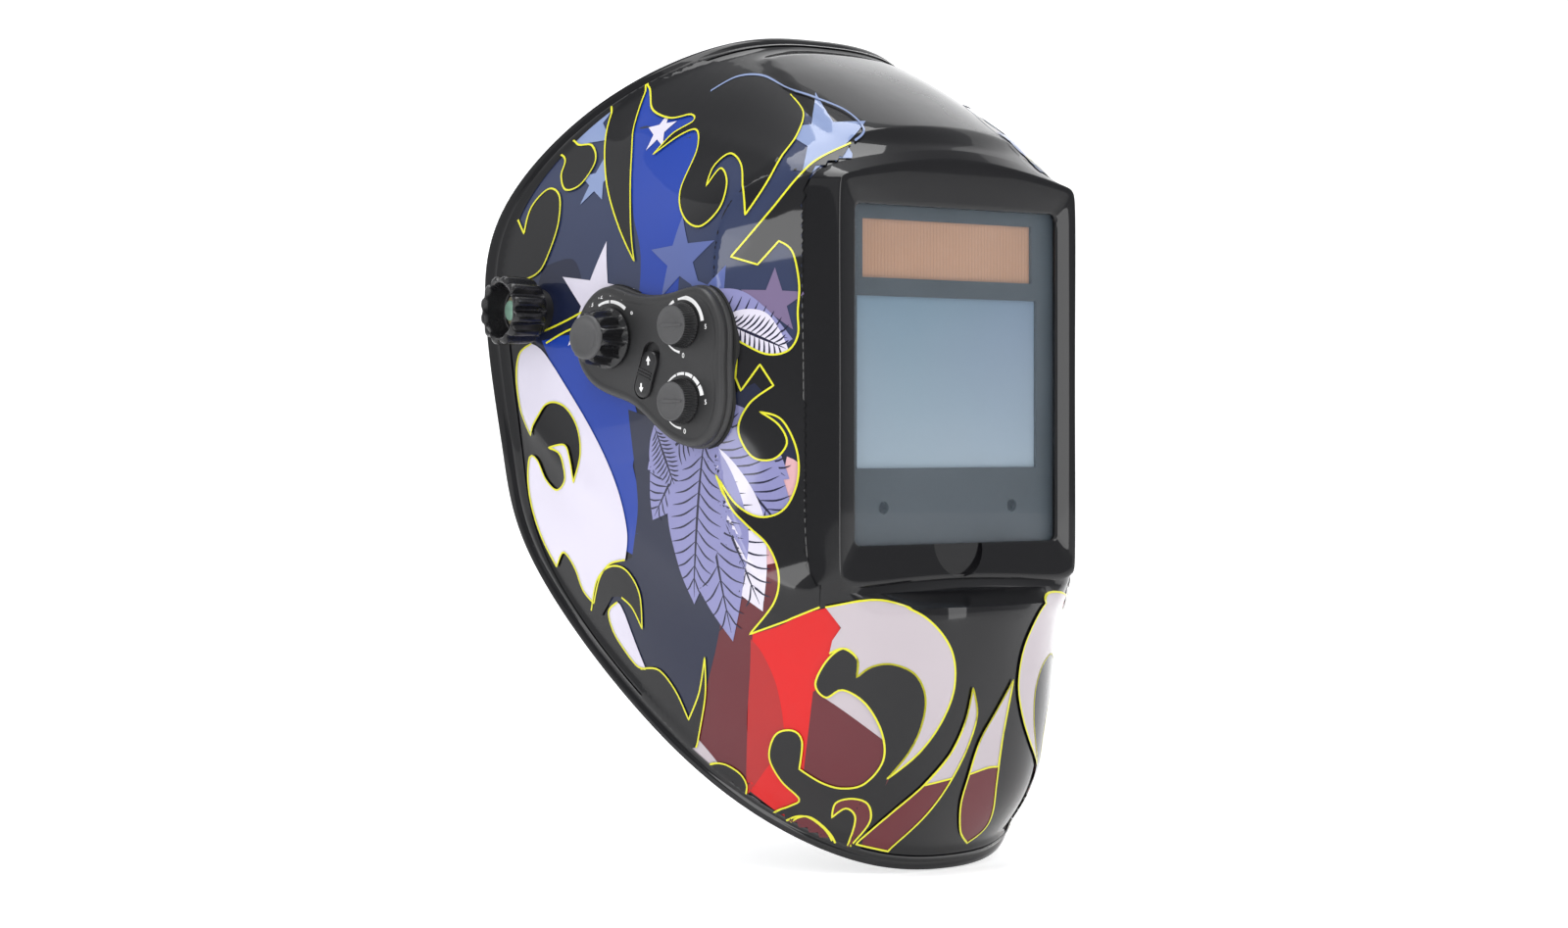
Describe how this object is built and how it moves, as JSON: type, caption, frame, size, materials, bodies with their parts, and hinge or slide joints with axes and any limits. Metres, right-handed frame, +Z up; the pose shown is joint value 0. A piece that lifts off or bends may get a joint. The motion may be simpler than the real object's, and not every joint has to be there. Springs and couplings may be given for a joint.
{
  "type": "welding helmet",
  "caption": "Auto-darkening welding helmet: glossy shell with filter window, side control pod and adjustable headgear that it flips up on.",
  "frame": {"origin": "middle of the flip axis, between the two pivots, where the wearer's head is", "axes": "+X to the wearer's left along the flip axis, -Y to the front, +Z up"},
  "size_m": [0.2568, 0.2904, 0.334],
  "materials": {
    "shell_paint": "painted artwork under glossy clear coat",
    "black_plastic": "black moulded nylon",
    "pod_plastic": "dark grey fine-grain moulded plastic",
    "filter_plastic": "dark slate moulded plastic",
    "headgear_plastic": "flexible polyethylene, satin",
    "clear_lens": "clear polycarbonate",
    "filter_glass": "blue-grey coated filter glass",
    "solar_cell": "copper amorphous cell",
    "sensor_glass": "dark lens",
    "circuit_board": "green solder mask",
    "gasket_rubber": "matt black",
    "zinc_steel": "zinc plated",
    "zinc_brass": "dull plated brass",
    "sweat_fabric": "padded knitted sweatband"
  },
  "bodies": {
    "headgear": {"head_band": "headgear_plastic", "sweatband": "sweat_fabric", "rear_band_right": "headgear_plastic", "rear_band_left": "headgear_plastic", "crown_strap_right": "headgear_plastic", "crown_strap_left": "headgear_plastic", "strap_peg": "black_plastic", "crown_strap_rear": "headgear_plastic", "band_rivets": "black_plastic"},
    "carriage": {"slider_block_right": "headgear_plastic", "slider_block_left": "headgear_plastic", "tilt_stop_right": "black_plastic", "tilt_stop_left": "black_plastic", "pivot_studs": "zinc_steel", "friction_washers": "gasket_rubber"},
    "shell": {"helmet_shell": "shell_paint", "cover_lens": "clear_lens", "lens_gasket": "gasket_rubber", "filter_housing": "filter_plastic", "filter_back_cover": "filter_plastic", "solar_panel": "solar_cell", "uv_ir_filter": "filter_glass", "lcd_stack": "filter_glass", "control_board": "circuit_board", "arc_sensors": "sensor_glass", "inner_cover_lens": "clear_lens", "cartridge_holder": "black_plastic", "holder_screws": "zinc_steel", "pivot_bushing_right": "black_plastic", "pivot_bushing_left": "black_plastic", "pod_housing": "pod_plastic", "pod_gasket": "gasket_rubber", "pod_base": "black_plastic", "pod_circuit_board": "circuit_board", "potentiometers": "zinc_steel", "switch_body": "black_plastic", "pod_screws": "zinc_steel"},
    "tension_right": {"tension_knob_right": "black_plastic", "knob_insert_right": "zinc_brass"},
    "tension_left": {"tension_knob_left": "black_plastic", "knob_insert_left": "zinc_brass"},
    "shade": {"shade_knob": "pod_plastic", "shade_knob_cap": "pod_plastic", "shade_shaft": "zinc_brass"},
    "sensitivity": {"sensitivity_knob": "pod_plastic", "sensitivity_shaft": "zinc_brass"},
    "delay": {"delay_knob": "pod_plastic", "delay_shaft": "zinc_brass"},
    "range": {"range_switch": "pod_plastic"},
    "battery": {"battery_tray": "black_plastic", "coin_battery": "zinc_steel"},
    "test": {"test_button": "black_plastic"},
    "latch_right": {"holder_latch_right": "black_plastic"},
    "latch_left": {"holder_latch_left": "black_plastic"},
    "adjuster": {"adjuster_housing": "headgear_plastic", "adjuster_cover": "headgear_plastic", "nape_pad": "sweat_fabric"},
    "ratchet": {"ratchet_pinion": "black_plastic", "ratchet_knob": "black_plastic"}
  },
  "joints": [
    {"name": "carriage_slide", "type": "slide", "parent": "headgear", "child": "carriage", "axis": [0, 1, 0], "range_m": [-0.01, 0.01]},
    {"name": "helmet_flip", "type": "hinge", "parent": "carriage", "child": "shell", "pos_m": [0, 0, 0], "axis": [-1, 0, 0], "range_deg": [0, 75]},
    {"name": "tension_turn_right", "type": "hinge", "parent": "carriage", "child": "tension_right", "pos_m": [-0.12, 0, 0], "axis": [-1, 0, 0], "continuous": true},
    {"name": "tension_turn_left", "type": "hinge", "parent": "carriage", "child": "tension_left", "pos_m": [0.12, 0, 0], "axis": [1, 0, 0], "continuous": true},
    {"name": "shade_turn", "type": "hinge", "parent": "shell", "child": "shade", "pos_m": [-0.10855, -0.05041, -0.012], "axis": [-0.9848, -0.1736, 0], "range_deg": [-135, 135]},
    {"name": "sensitivity_turn", "type": "hinge", "parent": "shell", "child": "sensitivity", "pos_m": [-0.1016, -0.0898, -0.008], "axis": [-0.9848, -0.1736, 0], "range_deg": [-135, 135]},
    {"name": "delay_turn", "type": "hinge", "parent": "shell", "child": "delay", "pos_m": [-0.1016, -0.0898, -0.037], "axis": [-0.9848, -0.1736, 0], "range_deg": [-135, 135]},
    {"name": "range_slide", "type": "slide", "parent": "shell", "child": "range", "axis": [0.0594, -0.3368, 0.9397], "range_m": [0, 0.003]},
    {"name": "battery_slide", "type": "slide", "parent": "shell", "child": "battery", "axis": [0, 0, -1], "range_m": [0, 0.026]},
    {"name": "test_press", "type": "slide", "parent": "shell", "child": "test", "axis": [0, -1, 0], "range_m": [0, 0.0008], "stiffness_N_per_m": 400, "springref_m": -0.0005},
    {"name": "latch_slide_right", "type": "slide", "parent": "shell", "child": "latch_right", "axis": [0, 0, 1], "range_m": [0, 0.006]},
    {"name": "latch_slide_left", "type": "slide", "parent": "shell", "child": "latch_left", "axis": [0, 0, 1], "range_m": [0, 0.006]},
    {"name": "ratchet_turn", "type": "hinge", "parent": "adjuster", "child": "ratchet", "pos_m": [0, 0.12, -0.038], "axis": [0, 1, 0], "range_deg": [-90, 150]},
    {"name": "adjuster_slide", "type": "slide", "parent": "headgear", "child": "adjuster", "axis": [0, -1, 0], "range_m": [-0.0094, 0.0157], "deforming": ["rear_band_right", "rear_band_left"]}
  ],
  "couplings": [
    {"joint": "ratchet_turn", "follows": "adjuster_slide", "rad_per_m": 166.67}
  ]
}
